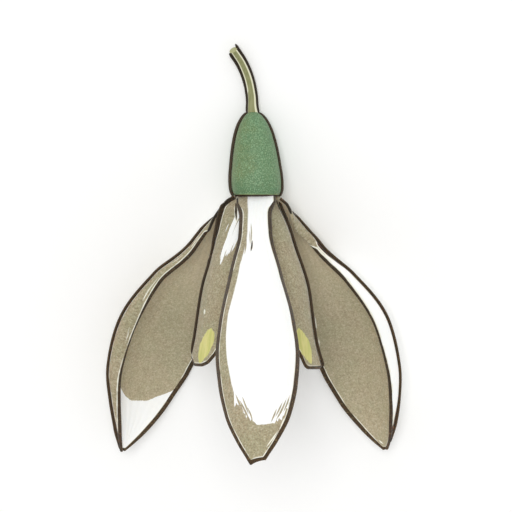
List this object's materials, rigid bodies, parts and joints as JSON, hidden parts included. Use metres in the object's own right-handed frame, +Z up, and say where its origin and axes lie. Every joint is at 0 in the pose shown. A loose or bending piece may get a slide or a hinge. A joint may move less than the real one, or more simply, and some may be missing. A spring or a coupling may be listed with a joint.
{
  "type": "snowdrop flower",
  "caption": "Picked snowdrop flower lying on its side: cut green pedicel, swollen ovary, long outer tepals spread wide round a cup of notched inner tepals, with stamens and style inside.",
  "frame": {"origin": "middle of the foot on the table, below the centre of the bounding box", "axes": "+Y along the flower towards the cut end of the pedicel, the tips of the tepals towards -Y; +X to the flower's right as seen from above with the pedicel up; +Z up from the table"},
  "size_m": [0.0294, 0.0424, 0.0281],
  "materials": {
    "pedicel": "olive green plant stem, satin, fine lengthwise streaks",
    "ovary": "grey-green waxy plant skin, finely speckled, satin",
    "outer_tepal": "white petal tissue with a warm beige wash, fine lengthwise veins, soft sheen",
    "inner_tepal": "white petal tissue with a beige wash and a yellow-green mark at the notch, soft sheen",
    "stamen": "orange-yellow anthers on pale filaments, matt",
    "style": "pale greenish white, satin"
  },
  "bodies": {
    "root": {"pedicel": "pedicel", "ovary": "ovary", "outer_tepal_front": "outer_tepal", "outer_tepal_left": "outer_tepal", "outer_tepal_right": "outer_tepal", "inner_tepal_left": "inner_tepal", "inner_tepal_right": "inner_tepal", "inner_tepal_back": "inner_tepal", "stamens": "stamen", "style": "style"}
  },
  "joints": []
}
